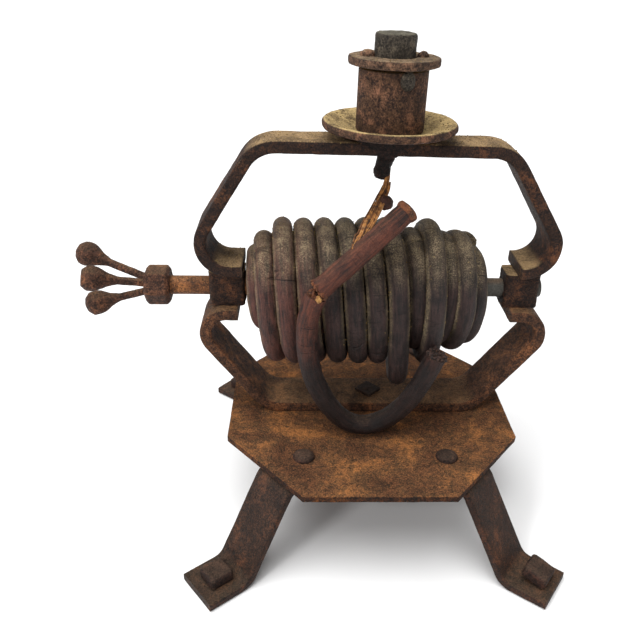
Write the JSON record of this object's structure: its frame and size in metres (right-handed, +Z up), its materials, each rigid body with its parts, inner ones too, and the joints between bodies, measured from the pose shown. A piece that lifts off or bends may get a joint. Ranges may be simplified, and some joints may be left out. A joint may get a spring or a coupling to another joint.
{
  "type": "hand-turned cord reel on a stand",
  "caption": "Rusty bar-iron stand with a hand-turned shaft wound with heavy sheathed cord, an octagonal base plate, splayed legs and a roller on top.",
  "frame": {"origin": "middle of the box of the solids, on the floor under the feet", "axes": "+X along the shaft, away from the pronged handle; +Y to the back, away from the loose loop of cord; +Z up"},
  "size_m": [0.2502, 0.2028, 0.2454],
  "materials": {
    "plate_rust": "heavily rusted plate, orange brown, rough and flaking",
    "bar_iron": "dark brown rusted bar iron with dust on upward faces",
    "fastener_iron": "rusted bolts, nuts and screws",
    "roller_iron": "rusted pipe, washer and flange",
    "spindle_steel": "worn grey steel, pale and pitted on top",
    "shaft_steel": "dark worn steel, rusty at the handle end",
    "cord_sheath": "old dull dark rubbery sheath, brown purple with olive dust",
    "loose_sheath": "red brown perished sheath, cracked, orange where torn",
    "fibre": "straw coloured dry plant fibre"
  },
  "bodies": {
    "stand": {"base_plate": "plate_rust", "leg_front_left": "bar_iron", "leg_front_right": "bar_iron", "leg_rear_left": "bar_iron", "leg_rear_right": "bar_iron", "leg_bolts": "fastener_iron", "leg_nuts": "fastener_iron", "foot_screws": "fastener_iron", "lower_yoke": "bar_iron", "yoke_bolt": "fastener_iron", "yoke_nut": "fastener_iron", "bearing_left": "bar_iron", "bearing_right": "bar_iron", "upper_yoke": "bar_iron", "dish_flange": "roller_iron", "spindle": "spindle_steel", "spindle_washer": "roller_iron", "washer_tacks": "fastener_iron", "loose_cord": "loose_sheath", "fibre_lashing": "fibre"},
    "reel": {"shaft": "shaft_steel", "hex_collar": "roller_iron", "collar_pin": "fastener_iron", "prong_front": "bar_iron", "prong_upper": "bar_iron", "prong_lower": "bar_iron", "cord_winding": "cord_sheath", "slack_turn": "cord_sheath"},
    "roller": {"roller_sleeve": "roller_iron"}
  },
  "joints": [
    {"name": "reel_turn", "type": "hinge", "parent": "stand", "child": "reel", "pos_m": [0.03021, 0, 0.1224], "axis": [1, 0, 0], "continuous": true},
    {"name": "roller_spin", "type": "hinge", "parent": "stand", "child": "roller", "pos_m": [0.03271, 0, 0.1991], "axis": [0.0105, 0, 0.9999], "continuous": true}
  ]
}
